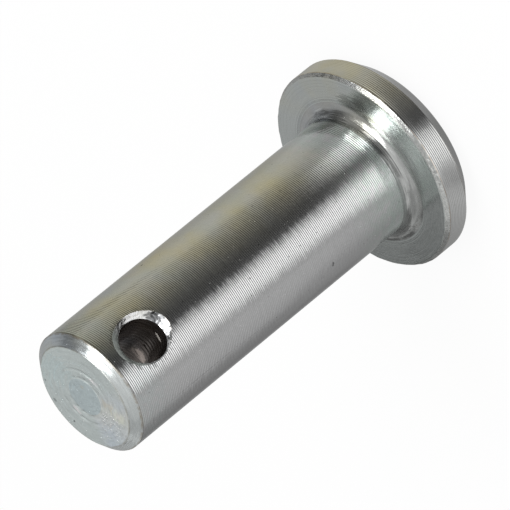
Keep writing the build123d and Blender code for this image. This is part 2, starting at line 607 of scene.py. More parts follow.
def feedLinesGroup():
    # Tool marks: how far into its groove a point lies, less and less towards the worn side of the pin,
    # and a tone of its own for each groove. A groove falls from its land's end to its root, and then
    # rises to the next land: the smaller of (phase - land) / (root - land) and (1 - phase) / (1 - root)
    group, given, made = effectGroup(
        "feedLines", {"Along": 0.0, "Start": 0.0, "Pitch": 0.2, "Land": 0.0, "Root": 0.5, "Place": origin,
                      "Worn": origin}, {"Groove": "Float", "Tone": "Float"})
    worn = towardsSide(group, given["Place"], given["Worn"], *wornSide["step"])
    turns = maths(group, "DIVIDE", minus(group, given["Start"], given["Along"]), given["Pitch"])
    phase = maths(group, "FRACT", turns)
    falling = maths(group, "DIVIDE", minus(group, phase, given["Land"]),
                    minus(group, given["Root"], given["Land"]))
    rising = maths(group, "DIVIDE", minus(group, 1.0, phase), minus(group, 1.0, given["Root"]))
    inside = maths(group, "MAXIMUM", maths(group, "MINIMUM", falling, rising), 0.0)
    plugged(group, made["Groove"], times(group, inside, minus(group, 1.0, worn)))
    grain = group.nodes.new("ShaderNodeTexWhiteNoise")
    grain.noise_dimensions = "1D"
    plugged(group, grain.inputs["W"], maths(group, "FLOOR", turns))
    plugged(group, made["Tone"], grain.outputs["Value"])
    return group


# The film on the plating: its usual bearing, how wide its side is, as cosines, over how many millimetres
# it fades in, the noise scales of its patches and its drift, and the drift's gain of red, green and blue
filmLook = {"bearing": 55.0, "side": (0.45, 0.95), "fade": 6.0, "patches": 0.35, "drift": 0.22,
            "hue": (0.35, 0.05, -0.75)}


def platingGroup():
    # The zinc's colour, crossed by a film that is strongest towards one side of the pin and above a
    # height and whose hue drifts from place to place, all lightened and darkened by a fine mottle
    group, given, made = effectGroup(
        "plating", {"Place": origin, "Zinc": grey, "Film": grey, "Towards": origin, "Film Height": 0.0,
                    "Film Share": 0.0, "Mottle": 0.05}, {"Color": "Color", "Mottle": "Float"})
    side = towardsSide(group, given["Place"], given["Towards"], *filmLook["side"])
    split = group.nodes.new("ShaderNodeSeparateXYZ")
    plugged(group, split.inputs[0], given["Place"])
    above = smoothed(group, minus(group, split.outputs[2], given["Film Height"]), 0.0, filmLook["fade"])
    patch = smoothed(group, noised(group, given["Place"], filmLook["patches"]), 0.3, 0.7, 0.65, 1.0)
    share = times(group, times(group, side, above), patch)
    colour = blended(group, times(group, share, given["Film Share"]), given["Zinc"], given["Film"])
    drift = times(group, minus(group, noised(group, given["Place"], filmLook["drift"]), 0.5), share)
    hue = group.nodes.new("ShaderNodeCombineXYZ")
    for slot, gain in zip(hue.inputs, filmLook["hue"]):
        plugged(group, slot, scaled(group, drift, gain, 1.0))
    colour = vectorMaths(group, "MULTIPLY", colour, hue.outputs[0])
    fine = minus(group, noised(group, given["Place"], 5.0, 4.0), 0.5)
    gain = scaled(group, fine, times(group, given["Mottle"], noiseGain), 1.0)
    plugged(group, made["Color"], vectorMaths(group, "SCALE", colour, gain))
    plugged(group, made["Mottle"], fine)
    return group


def specksGroup():
    # Scattered round specks: cells a spacing apart, some of which hold a speck of the size
    group, given, made = effectGroup(
        "specksAndGlints", {"Place": origin, "Spacing": 1.0, "Size": 0.1, "Share": 0.5}, {"Mask": "Float"})
    cells = group.nodes.new("ShaderNodeTexVoronoi")
    cells.inputs["Scale"].default_value = 1.0
    shrink = maths(group, "DIVIDE", 1.0, given["Spacing"])
    plugged(group, cells.inputs["Vector"], vectorMaths(group, "SCALE", given["Place"], shrink))
    away = times(group, cells.outputs["Distance"], given["Spacing"])
    dot = smoothed(group, away, times(group, given["Size"], 0.5), given["Size"], 1.0, 0.0)
    split = group.nodes.new("ShaderNodeSeparateColor")
    plugged(group, split.inputs[0], cells.outputs["Color"])
    chosen = maths(group, "LESS_THAN", split.outputs[0], given["Share"])
    plugged(group, made["Mask"], times(group, dot, chosen))
    return group


def streaksGroup():
    # Long streaks round the pin
    group, given, made = effectGroup(
        "streaks", {"Place": origin, "Across": 0.0, "Round": 0.6, "Close": 8.0}, {"Streak": "Float"})
    plugged(group, made["Streak"], drawnOut(group, given, 3.0))
    return group


def markGroup():
    # One mark at a centre, as long each way as its reach: full within half of it and gone beyond it,
    # by the length of (place - centre) / reach, to which a noise from 0 to 1 adds up to the ragged share
    raggedShare = 1.6
    group, given, made = effectGroup(
        "mark", {"Place": origin, "Centre": origin, "Reach": (1.0, 1.0, 1.0), "Ragged": 0.5},
        {"Mask": "Float"})
    away = vectorMaths(group, "SUBTRACT", given["Place"], given["Centre"])
    away = vectorMaths(group, "LENGTH", vectorMaths(group, "DIVIDE", away, given["Reach"]), result=1)
    ragged = scaled(group, given["Ragged"], 2.0 * raggedShare, -raggedShare)
    plugged(group, made["Mask"], smoothed(group, maths(group, "ADD", away, ragged), 0.5, 1.0, 1.0, 0.0))
    return group


def combedGroup():
    # The surface's normal swayed left and right round the pin by noise that changes from tool mark to
    # tool mark: the level tangent times the noise's distance from its middle, added to the normal
    group, given, made = effectGroup(
        "combed", {"Place": origin, "Across": 0.0, "Normal": (0.0, 0.0, 1.0), "Round": 1.0, "Close": 5.0,
                   "Sway": 0.03}, {"Normal": "Vector"})
    tangent = vectorMaths(group, "CROSS_PRODUCT", (0.0, 0.0, 1.0), levelPart(group, given["Place"]))
    tangent = vectorMaths(group, "NORMALIZE", tangent)
    offMiddle = minus(group, drawnOut(group, given, 2.0), 0.5)
    sway = times(group, offMiddle, times(group, given["Sway"], noiseGain))
    swayed = vectorMaths(group, "ADD", given["Normal"], vectorMaths(group, "SCALE", tangent, sway))
    plugged(group, made["Normal"], vectorMaths(group, "NORMALIZE", swayed))
    return group


def ringGroup():
    # A thin ring at one place along a run, broken up a little
    group, given, made = effectGroup(
        "ringLine", {"Place": origin, "Along": 0.0, "At": 0.0, "Width": 0.1}, {"Mask": "Float"})
    away = maths(group, "ABSOLUTE", minus(group, given["Along"], given["At"]))
    ring = smoothed(group, maths(group, "DIVIDE", away, given["Width"]), 0.3, 1.0, 1.0, 0.0)
    broken = smoothed(group, noised(group, given["Place"], 1.6), 0.3, 0.6)
    plugged(group, made["Mask"], times(group, ring, broken))
    return group


effects = {group.name: group for group in (
    pinPlaceGroup(), feedLinesGroup(), platingGroup(), specksGroup(), streaksGroup(), markGroup(),
    combedGroup(), ringGroup())}


def effect(tree, name, **given):
    # One of the shared effects with its own values; "filmShare" fills the socket "Film Share"
    node = tree.nodes.new("ShaderNodeGroup")
    node.node_tree = effects[name]
    for key, value in given.items():
        words = "".join(" " + c if c.isupper() else c for c in key).title()
        plugged(tree, node.inputs[words], value)
    return node.outputs


def levelWay(bearing):
    # The level unit vector (x, y, 0) at a bearing
    return (*facing(bearing).tolist(), 0.0)


def spotOn(height, bearing, radius=pin["shankRadius"]):
    # A point in millimetres at a height and a bearing, on the shank or on another zone
    return (*(facing(bearing) * radius).tolist(), height)


# What each turned zone looks like, in millimetres and degrees, but grain, bump and a speck's raise in
# metres. A colour is (red, green, blue) of the metal, linear; a tint multiplies it. Each entry holds
# specksAndGlints: spacing, size, share of the places that hold one, tone, raise, and for some a centre and a
#   reach to keep them within; a tone below 1 makes dark specks, a raised speck with a tone above 1 paints a glint
# marksAndPaintedLight: centre, reach each way, and a tone or a tint; some are real marks and scratches,
#   the rest painted highlights (tones above 1) and painted shade and dark reflections (tones below 1)
# rings: what they run along, where, width, tint and share; tints the same without the share
# combed: what it runs along, round, close and sway; burrsAndPaintedHighlights: patches of their own
#   colour, which stand at a centre or run from one height to another: a dull bare band, and light
#   patches that paint highlights in the countersink and the bore
finishes = {
    "shank": {
        "zinc": (0.640, 0.642, 0.642), "film": (0.625, 0.605, 0.455), "filmShare": 1.0, "filmHeight": 7.0,
        "roughness": 0.135, "mottle": 0.045, "grain": 0.0000010,
        "lines": {"along": "Height", "start": 38.75, "pitch": 33.55 / 172, "land": 0.62, "root": 0.66,
                  "shade": 0.30, "rough": 0.07},
        "combed": ("Height", 0.8, 5.1, 0.035),
        "specksAndGlints": [(0.8, 0.070, 0.45, 0.42, 0.0), (2.4, 0.12, 0.30, 0.5, 0.0),
                   (0.42, 0.045, 0.35, 1.35, 0.000006)],
        "marksAndPaintedLight": [(spotOn(14.4, -57.3), (0.22, 0.22, 0.22), 0.35),
                  (spotOn(28.2, 63.7), (0.14, 0.14, 0.14), 0.3),
                  (spotOn(31.0, -60.5), (0.07, 0.07, 4.5), 0.82),
                  (spotOn(25.0, -62.0), (0.05, 0.05, 2.5), 0.85)],
        "rings": [("Height", 38.72, 0.14, (0.60, 0.50, 0.40), 0.7),
                  ("Height", 5.25, 0.10, (0.6, 0.6, 0.6), 0.6)],
        "tints": [("Height", 5.2, 7.0, (0.93, 1.0, 0.955)), ("Height", 38.7, 5.0, (0.965, 1.0, 0.995))],
    },
    "seat": {
        "zinc": (0.600, 0.632, 0.620), "roughness": 0.17, "mottle": 0.03, "grain": 0.0000012,
        "streaks": {"across": "Radius", "round": 0.5, "close": 7.0, "shade": 0.03, "rough": 0.04,
                    "bump": 0.0000014},
        "specksAndGlints": [(0.55, 0.045, 0.20, 0.7, 0.0), (0.7, 0.05, 0.35, 1.25, 0.000014)],
        # Painted light on the seat: tones below 1 are painted shade and dark reflections at several bearings, and the
        # tone 1.4 is a painted highlight near the root
        "marksAndPaintedLight": [(spotOn(4.0, 28.0, 8.1), (1.0, 0.8, 0.6), 0.55),
                  (spotOn(4.0, 40.0, 7.8), (0.8, 0.8, 0.6), 0.65),
                  (spotOn(4.0, 6.0, 9.3), (1.2, 0.35, 0.6), 0.75),
                  (spotOn(4.0, -14.0, 8.6), (2.6, 1.7, 0.6), 0.80),
                  (spotOn(4.0, -126.0, 8.6), (3.0, 3.0, 0.6), 0.84),
                  (spotOn(4.0, 10.0, 7.45), (1.0, 0.8, 0.6), 1.4)],
        "combed": ("Radius", 1.2, 6.0, 0.010),
        "rings": [("Radius", 7.42, 0.08, (0.72, 0.72, 0.72), 0.8),
                  ("Radius", 9.72, 0.08, (0.7, 0.68, 0.64), 0.5)],
    },
    "tailFace": {
        "zinc": (0.820, 0.897, 0.884), "film": (0.975, 0.995, 0.945), "filmShare": 1.0, "filmBearing": -76.0,
        "roughness": 0.33, "mottle": 0.035, "grain": 0.0000038,
        "middle": {"radius": 1.86, "zinc": (0.735, 0.842, 0.861)},
        "streaks": {"across": "Radius", "round": 0.7, "close": 3.5, "shade": 0.04, "rough": 0.05,
                    "bump": 0.000012},
        "combed": ("Radius", 1.6, 5.0, 0.06),
        "specksAndGlints": [(1.7, 0.06, 0.30, 0.6, 0.0), (0.42, 0.07, 0.40, 1.15, 0.000032),
                   (1.3, 0.30, 0.4, 1.06, 0.0),
                  (0.33, 0.12, 0.60, 1.22, 0.000035, spotOn(39.5, -88.0, 3.3), (1.6, 1.9, 1.0)),
                  (0.31, 0.12, 0.60, 0.80, 0.0, spotOn(39.5, -88.0, 3.3), (1.6, 1.9, 1.0)),
                  (0.25, 0.09, 0.45, 1.20, 0.000030, spotOn(39.5, 20.0, 2.6), (1.5, 1.2, 1.0))],
        "marksAndPaintedLight": [(spotOn(39.5, 187.7, 4.25), (0.12, 0.22, 0.5), 0.4),
                  (spotOn(39.5, 155.7, 4.60), (0.22, 0.16, 0.5), 0.6),
                  (spotOn(39.5, 130.7, 4.75), (0.14, 0.14, 0.5), 0.6),
                  (spotOn(39.5, -44.0, 2.7), (0.9, 0.6, 1.0), (0.94, 0.89, 0.83)),
                  (spotOn(39.5, 43.0, 1.0), (0.25, 0.25, 1.0), (0.96, 0.89, 0.83)),
                  # Painted glints: the next two lighten short arcs on the rings' slopes
                  (spotOn(39.5, 8.0, 2.75), (0.8, 0.22, 1.0), 1.3),
                  (spotOn(39.5, 180.0, 2.55), (0.9, 0.30, 1.0), 1.3),
                  (spotOn(39.5, -60.0, 3.9), (1.0, 0.8, 1.0), (1.06, 1.05, 1.0)),
                  (spotOn(39.5, 104.0, 3.9), (2.2, 2.6, 1.0), (0.93, 0.96, 0.97))],
        "rings": [("Radius", 5.08, 0.08, (0.66, 0.60, 0.52), 0.6),
                  ("Radius", 3.55, 0.10, (0.9, 0.93, 0.95), 0.6)],
    },
    "root": {
        # Darker zinc: partly duller plating, partly painted shade of the fillet's corner
        "zinc": (0.470, 0.480, 0.470), "roughness": 0.17, "mottle": 0.04, "grain": 0.0000040,
        "streaks": {"across": "Height", "round": 0.5, "close": 8.0, "shade": 0.10, "rough": 0.05,
                    "bump": 0.0000050},
        "specksAndGlints": [(0.45, 0.05, 0.30, 1.2, 0.000010), (0.5, 0.05, 0.2, 0.5, 0.0)],
        "combed": ("Height", 1.3, 7.0, 0.05),
        "tints": [("Height", 5.0, 0.45, (0.84, 0.84, 0.84))],
        # Painted light on the fillet: tones above 1 are painted highlights, tones below 1 painted shade and dark
        # reflections
        "marksAndPaintedLight": [(spotOn(4.9, 48.0, 6.5), (1.4, 1.4, 0.6), 0.55),
                  (spotOn(4.4, 24.0, 6.6), (0.7, 0.5, 0.25), 0.6),
                  (spotOn(4.8, 12.0, 6.15), (1.0, 0.9, 0.30), 1.5),
                  (spotOn(4.25, -64.0, 6.9), (3.4, 3.4, 0.6), 0.80),
                  (spotOn(4.04, -92.0, 7.0), (1.0, 3.2, 0.16), 1.45),
                  (spotOn(4.75, -102.0, 6.35), (1.6, 3.8, 0.75), 0.74),
                  (spotOn(4.5, 13.0, 6.4), (1.0, 0.9, 0.45), 1.3),
                  (spotOn(4.6, 72.0, 6.4), (1.0, 1.0, 0.6), 1.5),
                  (spotOn(4.12, 12.0, 6.9), (1.1, 0.8, 0.30), 1.6)],
    },
    "seatEdge": {
        "zinc": (0.570, 0.580, 0.565), "roughness": 0.24, "mottle": 0.10, "grain": 0.000022,
        "streaks": {"across": "Height", "round": 2.2, "close": 6.0, "shade": 0.20, "rough": 0.08,
                    "bump": 0.000016},
        "combed": ("Height", 2.0, 7.0, 0.06),
        "specksAndGlints": [(0.45, 0.05, 0.3, 0.5, 0.000012)],
        # Painted light on the seat's edge: painted shade and dark reflections at two bearings (tones below 1) and a
        # painted highlight (1.35)
        "marksAndPaintedLight": [(spotOn(3.85, -20.0, 9.9), (3.4, 2.0, 1.0), 0.68),
                  (spotOn(3.85, -115.0, 9.9), (2.0, 3.0, 1.0), 0.55),
                  (spotOn(3.85, 65.0, 9.9), (3.0, 4.0, 1.0), 1.35)],
    },
    "tailChamfer": {
        "zinc": (0.620, 0.655, 0.650), "roughness": 0.19, "mottle": 0.03, "grain": 0.0000020,
        "streaks": {"across": "Radius", "round": 0.7, "close": 9.0, "shade": 0.08, "rough": 0.05,
                    "bump": 0.0000090},
        "combed": ("Radius", 1.0, 8.0, 0.07),
        # Painted light on the chamfer: painted highlights (tones above 1) where its bright patch ends, and painted
        # shade on its dark streaks (0.72)
        "marksAndPaintedLight": [(spotOn(39.1, -3.0, 5.6), (0.6, 0.6, 0.6), 1.35),
                  (spotOn(39.1, 40.0, 5.6), (1.5, 1.5, 0.8), 0.72),
                  (spotOn(39.1, -106.0, 5.6), (3.0, 3.4, 0.9), 1.3)],
        "specksAndGlints": [(0.5, 0.05, 0.25, 1.15, 0.000010), (0.8, 0.05, 0.3, 0.6, 0.0)],
        "rings": [("Radius", 5.94, 0.08, (0.60, 0.50, 0.40), 0.7),
                  ("Radius", 5.14, 0.06, (0.64, 0.60, 0.54), 0.7)],
    },
    "sink": {
        "zinc": (0.850, 0.860, 0.865), "roughness": 0.20, "mottle": 0.06, "grain": 0.000004,
        "streaks": {"across": "Radius", "round": 1.8, "close": 3.0, "shade": 0.15, "rough": 0.10,
                    "bump": 0.000012},
        "rings": [("Radius", 5.985, 0.05, (0.40, 0.34, 0.28), 0.7)],
        # Darkened patches where the countersink is torn or looks dark: partly torn metal, partly painted dark
        # reflection
        "marksAndPaintedLight": [((0.85, -5.5, 32.36), (1.25, 1.2, 0.75), 0.30),
                  ((-1.05, -5.55, 32.68), (0.60, 0.8, 0.52), 0.32),
                  ((2.4, -5.3, 35.4), (0.5, 0.6, 0.7), 0.6), ((2.1, -5.5, 36.4), (0.9, 0.8, 0.8), 0.76),
                  ((-0.3, -5.5, 37.1), (1.1, 0.8, 0.5), 0.50)],
        "burrsAndPaintedHighlights": [{"from": 35.0, "to": 36.6, "zinc": (0.30, 0.325, 0.305), "metallic": 0.45, "rough": 0.20},
                  # A painted highlight: a near-white, hardly metallic, smooth patch where the countersink looks white
                  {"centre": (2.56, -5.4, 33.9), "reach": (1.1, 1.3, 1.2), "zinc": (0.985, 0.985, 0.985),
                   "metallic": 0.05,
                   "rough": 0.05}],
    },
    "bore": {
        # Dark zinc: painted shade of the hole's inside, where little light enters
        "zinc": (0.150, 0.130, 0.118), "roughness": 0.23, "mottle": 0.10, "grain": 0.000004,
        "streaks": {"across": "Radius", "round": 0.5, "close": 5.0, "shade": 0.15, "rough": 0.06,
                    "bump": 0.000008},
        # Painted light in the bore: tones above 1 are painted highlights and arcs, the tone 0.45 painted shade beside
        # a streak
        "marksAndPaintedLight": [((-0.30, 0.35, 32.5), (0.95, 0.55, 0.6), 4.6),
                  ((0.4, -1.1, 32.5), (0.6, 0.25, 0.5), 1.7), ((0.5, -3.7, 32.5), (0.9, 0.25, 0.5), 1.5),
                  ((1.45, 0.3, 33.05), (0.7, 1.6, 0.7), 0.45)],
        # A painted highlight: a light, less metallic patch where the bore shows a bright arc
        "burrsAndPaintedHighlights": [{"centre": (-0.38, -4.03, 32.5), "reach": (0.46, 0.15, 0.5), "zinc": (0.78, 0.74, 0.68),
                   "metallic": 0.3,
                   "rough": 0.0}],
    },
    "rim": {
        "zinc": (0.635, 0.640, 0.632), "film": (0.625, 0.605, 0.470), "filmShare": 1.0, "filmHeight": -4.0,
        "roughness": 0.12, "mottle": 0.03, "grain": 0.0000012,
        "lines": {"along": "Height", "start": 3.65, "pitch": 2.15 / 11, "land": 0.62, "root": 0.66,
                  "shade": 0.24, "rough": 0.07},
        "specksAndGlints": [(0.9, 0.055, 0.30, 0.5, 0.0), (0.8, 0.05, 0.2, 1.1, 0.000006)],
        "combed": ("Height", 0.8, 5.1, 0.04),
        "rings": [("Height", 3.62, 0.08, (0.66, 0.50, 0.36), 0.7),
                  ("Height", 1.53, 0.10, (0.7, 0.66, 0.6), 0.6)],
    },
    "outerChamfer": {
        "zinc": (0.560, 0.565, 0.555), "roughness": 0.20, "mottle": 0.03, "grain": 0.0000015,
        "streaks": {"across": "Height", "round": 0.6, "close": 7.0, "shade": 0.05, "rough": 0.04,
                    "bump": 0.0000030},
    },
    "outerFace": {
        "zinc": (0.620, 0.640, 0.630), "roughness": 0.26, "mottle": 0.03, "grain": 0.0000020,
        "streaks": {"across": "Radius", "round": 0.5, "close": 4.0, "shade": 0.05, "rough": 0.05,
                    "bump": 0.000004},
        "specksAndGlints": [(1.2, 0.06, 0.3, 0.55, 0.0)],
    },
}


def zincFinish(name, look):
    # The plating's colour, darkened or lightened by each effect's mask in turn; some of these paint light
    # and shade: the grooves' shade and the lands' highlight, the glints, and the painted highlights and shade
    # among the marks. The same masks make it duller, burrs and painted highlights make it less metallic, and
    # the grain, streaks and specks raise it a few thousandths of a millimetre
    material = bpy.data.materials.new(name)
    material.use_nodes = True
    tree = material.node_tree
    shader = tree.nodes["Principled BSDF"]
    coordinates = tree.nodes.new("ShaderNodeTexCoord")
    where = effect(tree, "pinPlace", object=coordinates.outputs["Object"])
    place = where["Place"]
    film = look.get("film", look["zinc"])
    filmSide = look.get("filmBearing", filmLook["bearing"])
    plating = effect(tree, "plating", place=place, zinc=(*look["zinc"], 1.0), film=(*film, 1.0),
                     towards=levelWay(filmSide), filmHeight=look.get("filmHeight", 0.0),
                     filmShare=look.get("filmShare", 0.0), mottle=look["mottle"])
    colour = plating["Color"]
    roughness = scaled(tree, plating["Mottle"], look["mottle"] * noiseGain, look["roughness"])
    height = times(tree, noised(tree, place, 7.0, 3.0), look["grain"])

    if "middle" in look:
        middle, soft = look["middle"]["radius"], 0.05
        inside = smoothed(tree, where["Radius"], middle - soft, middle + soft, 1.0, 0.0)
        colour = blended(tree, inside, colour, (*look["middle"]["zinc"], 1.0))
    for across, at, width, tint in look.get("tints", []):
        mask = effect(tree, "ringLine", place=place, along=where[across], at=at, width=width)["Mask"]
        colour = blended(tree, mask, colour, (*tint, 1.0), "MULTIPLY")
    for across, at, width, tint, share in look.get("rings", []):
        mask = effect(tree, "ringLine", place=place, along=where[across], at=at, width=width)["Mask"]
        colour = blended(tree, times(tree, mask, share), colour, (*tint, 1.0), "MULTIPLY")
        roughness = scaled(tree, mask, 0.1, roughness)
    if "lines" in look:
        feed = look["lines"]
        lines = effect(tree, "feedLines", along=where[feed["along"]], start=feed["start"],
                       pitch=feed["pitch"], land=feed["land"], root=feed["root"], place=place,
                       worn=levelWay(wornSide["bearing"]))
        # The grooves are darkened and the lands lightened in colour: partly duller plating in the grooves, partly
        # painted shade in them and a painted highlight on the lands
        shade = times(tree, lines["Groove"], scaled(tree, lines["Tone"], 0.3, 0.85))
        gain = scaled(tree, shade, -feed["shade"], 1.0 + feed["shade"] / 2)
        colour = vectorMaths(tree, "SCALE", colour, gain)
        roughness = scaled(tree, shade, feed["rough"], roughness)
    if "streaks" in look:
        drawn = look["streaks"]
        streak = effect(tree, "streaks", place=place, across=where[drawn["across"]], round=drawn["round"],
                        close=drawn["close"])["Streak"]
        centred = minus(tree, streak, 0.5)
        gain = scaled(tree, centred, drawn["shade"] * noiseGain, 1.0)
        colour = vectorMaths(tree, "SCALE", colour, gain)
        roughness = scaled(tree, centred, -drawn["rough"] * noiseGain, roughness)
        height = scaled(tree, streak, drawn["bump"], height)
    # A raised speck with a tone above 1 is a painted glint, lightened as well as raised; a tone below 1 makes a dark
    # speck
    for spacing, size, share, tone, raised, *within in look.get("specksAndGlints", []):
        mask = effect(tree, "specksAndGlints", place=place, spacing=spacing, size=size, share=share)["Mask"]
        if within:
            area = effect(tree, "mark", place=place, centre=within[0], reach=within[1])["Mask"]
            mask = times(tree, mask, area)
        colour = blended(tree, mask, colour, vectorMaths(tree, "SCALE", colour, tone))
        height = scaled(tree, mask, raised, height)
    ragged = streak if "streaks" in look else noised(tree, place, 6.0)
    metallic = 1.0
    # Burrs and painted highlights: a dull bare band, and light patches painted as highlights, each with its own
    # colour, metallic share and roughness
    for ownPatch in look.get("burrsAndPaintedHighlights", []):
        if "centre" in ownPatch:
            mask = effect(tree, "mark", place=place, centre=ownPatch["centre"], reach=ownPatch["reach"],
                          ragged=ragged)["Mask"]
        else:
            mask = smoothed(tree, where["Height"], ownPatch["from"], ownPatch["to"])
        colour = blended(tree, mask, colour, (*ownPatch["zinc"], 1.0))
        roughness = scaled(tree, mask, ownPatch["rough"], roughness)
        metallic = scaled(tree, mask, ownPatch["metallic"] - 1.0, metallic)
    # Real marks, and painted highlights and painted shade: each mask lifts or darkens the colour by its tone
    for centre, reach, tone in look.get("marksAndPaintedLight", []):
        mask = effect(tree, "mark", place=place, centre=centre, reach=reach, ragged=ragged)["Mask"]
        tint = tone if isinstance(tone, tuple) else (tone, tone, tone)
        colour = blended(tree, mask, colour, vectorMaths(tree, "MULTIPLY", colour, tint))
        roughness = scaled(tree, mask, 0.08, roughness)

    bump = tree.nodes.new("ShaderNodeBump")
    bump.inputs["Strength"].default_value = 1.0
    bump.inputs["Distance"].default_value = 1.0
    plugged(tree, bump.inputs["Height"], height)
    if "combed" in look:
        across, roundScale, close, sway = look["combed"]
        surface = tree.nodes.new("ShaderNodeNewGeometry").outputs["Normal"]
        swayed = effect(tree, "combed", place=place, across=where[across], normal=surface,
                        round=roundScale, close=close, sway=sway)["Normal"]
        plugged(tree, bump.inputs["Normal"], swayed)
    plugged(tree, shader.inputs["Base Color"], colour)
    plugged(tree, shader.inputs["Roughness"], roughness)
    plugged(tree, shader.inputs["Metallic"], metallic)
    plugged(tree, shader.inputs["Normal"], bump.outputs[0])
    return material


for zone in zones:
    pinBody.data.materials.append(zincFinish(zone + "Zinc", finishes[zone]))
print("pin built")

studio = {
    "worldStrength": 0.72,
    "floorShadow": 0.08,  # how much of the floor's own light is left where it is seen
    "lampBearing": 40.0,
    "lampElevation": 47.0,
    "lampDistance": 0.5,
    "lampWidth": 0.30,
    "lampHeight": 0.37,
    "lampPower": 1.25,
    "tentRadius": 1.0,  # metres
    "tentGap": 0.05,  # millimetres between the floor and the tent's disc
    "farStart": 78.0,  # millimetres from the pin, where the disc starts to turn into its far tones
    "farEnd": 130.0,
    "patchReach": (22.5, 9.5),  # millimetres along a mirrored ray, between which the close tones come in
    "rimReach": (10.5, 8.5),
    "underReach": (10.4, 9.9),  # millimetres from the axis, where the tones under the chamfer come in
    "discStart": [8.6, 9.3, 9.9, 10.2, 10.5],  # millimetres from the axis, of the disc's first rows
    "discFrom": 11.0,
    "discRows": 34,
    "seenLines": 541,
    "hiddenLines": 60,
    "domeRows": 60,
}
# How bright the tent is, as (bearing, tone): the floor that the shank mirrors, far off, and in a patch
# close by, the floor still closer that the rim mirrors, and right under the chamfer
floorTones = [(-180, 0.38), (-166, 0.27), (-158, 0.20), (-150, 0.21), (-142, 0.25), (-126, 0.30),
              (-110, 0.325),
              (-94, 0.38), (-78, 0.41), (-70, 0.41), (-64, 0.37), (-60, 0.46), (-54, 0.74), (-50, 0.96),
              (-46, 1.14),
              (-42, 1.25), (-38, 1.30), (-30, 1.30), (-24, 1.22), (-20, 1.06), (-16, 0.82), (-12, 0.60),
              (-8, 0.37),
              (-4, 0.10), (0, 0.05), (12, 0.04), (18, 0.065), (30, 0.145), (38, 0.195), (46, 0.255),
              (54, 0.315),
              (62, 0.385), (70, 0.425), (78, 0.46), (86, 0.49), (94, 0.495), (102, 0.485), (114, 0.46),
              (128, 0.40),
              (142, 0.36), (154, 0.355), (166, 0.42), (180, 0.40)]
farTones = [(-180, 0.40), (-140, 0.30), (-120, 0.45), (-100, 0.60), (-62, 0.58), (-48, 0.22), (-14, 0.16),
            (-6, 0.12),
            (16, 0.12), (24, 0.06), (40, 0.03), (54, 0.09), (70, 0.21), (86, 0.32), (100, 0.38), (114, 0.40),
            (150, 0.42), (180, 0.42)]
patchTones = [(-180, 0.38), (-126, 0.28), (-110, 0.33), (-86, 0.44), (-63, 0.42), (-54, 0.80), (-46, 1.20),
              (-38, 1.35), (-22, 1.30), (-14, 0.90), (-6, 0.50), (4, 0.24), (10, 0.23), (16, 0.45),
              (22, 0.77),
              (34, 1.22), (46, 1.31), (52, 0.90), (58, 0.54), (74, 0.28), (94, 0.34), (114, 0.48),
              (134, 0.40),
              (180, 0.40)]
rimTones = [(-180, 0.36), (-158, 0.22), (-146, 0.24), (-134, 0.30), (-122, 0.35), (-110, 0.40), (-80, 0.53),
            (-70, 0.46), (-62, 0.30), (-54, 0.33), (-48, 0.54), (-40, 1.02), (-28, 1.26), (-20, 1.10),
            (-14, 0.80),
            (-10, 0.32), (-4, 0.08), (4, 0.08), (14, 0.15), (30, 0.28), (50, 0.46), (70, 0.54), (90, 0.52),
            (110, 0.47), (130, 0.36), (154, 0.34), (180, 0.42)]
chamferTones = [(-180, 0.30), (-90, 0.28), (-66, 0.24), (-56, 0.28), (-45, 0.30), (-15, 0.28), (0, 0.34),
                (15, 0.36), (35, 0.48), (50, 0.55), (90, 0.45), (180, 0.36)]
# The dome's tones by bearing, at each height in degrees above the floor
domeTones = {
    0: farTones,
    12: [(-180, 0.42), (-164, 0.62), (-150, 0.60), (-120, 0.60), (-100, 0.90), (-60, 0.95), (-46, 0.12),
         (-14, 0.12),
         (-6, 0.06), (20, 0.06), (32, 0.24), (60, 0.40), (86, 0.45), (100, 0.24), (112, 0.28), (130, 0.42),
         (145, 0.52), (165, 0.50), (180, 0.42)],
    32: [(-180, 0.42), (-150, 0.56), (-120, 0.42), (-90, 0.52), (-60, 0.75), (-50, 1.25), (-22, 1.20),
         (-8, 0.55),
         (0, 0.50), (30, 0.66), (52, 0.5), (64, 0.32), (78, 0.22), (90, 0.19), (102, 0.15), (110, 0.22),
         (130, 0.44),
         (150, 0.50), (165, 0.50), (180, 0.44)],
    50: [(-180, 0.60), (-120, 0.62), (-80, 0.66), (-55, 0.95), (-20, 1.0), (0, 0.9), (30, 1.0), (65, 0.9),
         (90, 0.46),
         (104, 0.34), (140, 0.50), (180, 0.60)],
    70: [(-180, 0.68), (-90, 0.72), (-40, 0.72), (0, 1.0), (60, 0.9), (90, 0.60), (180, 0.68)],
}


def lookUp(tones, bearing):
    # Straight-line mixing between the bearings of a list of tones
    return np.interp((bearing + 180.0) % 360.0 - 180.0, *zip(*tones))


def discColumns():
    # The bearings round the shank of the points that mirror the floor to the camera, and the bearings
    # of the lines on which those mirrored rays land; behind the shank the lines run side by side
    seen = np.linspace(-90.0, 90.0, studio["seenLines"])
    hidden = np.linspace(90.0, 270.0, studio["hiddenLines"] + 1)[1:]
    start = np.concatenate([seen, hidden])
    lines = np.concatenate([2 * seen - shot["bearing"], np.full(len(hidden), 180.0 - shot["bearing"])])
    return start, lines


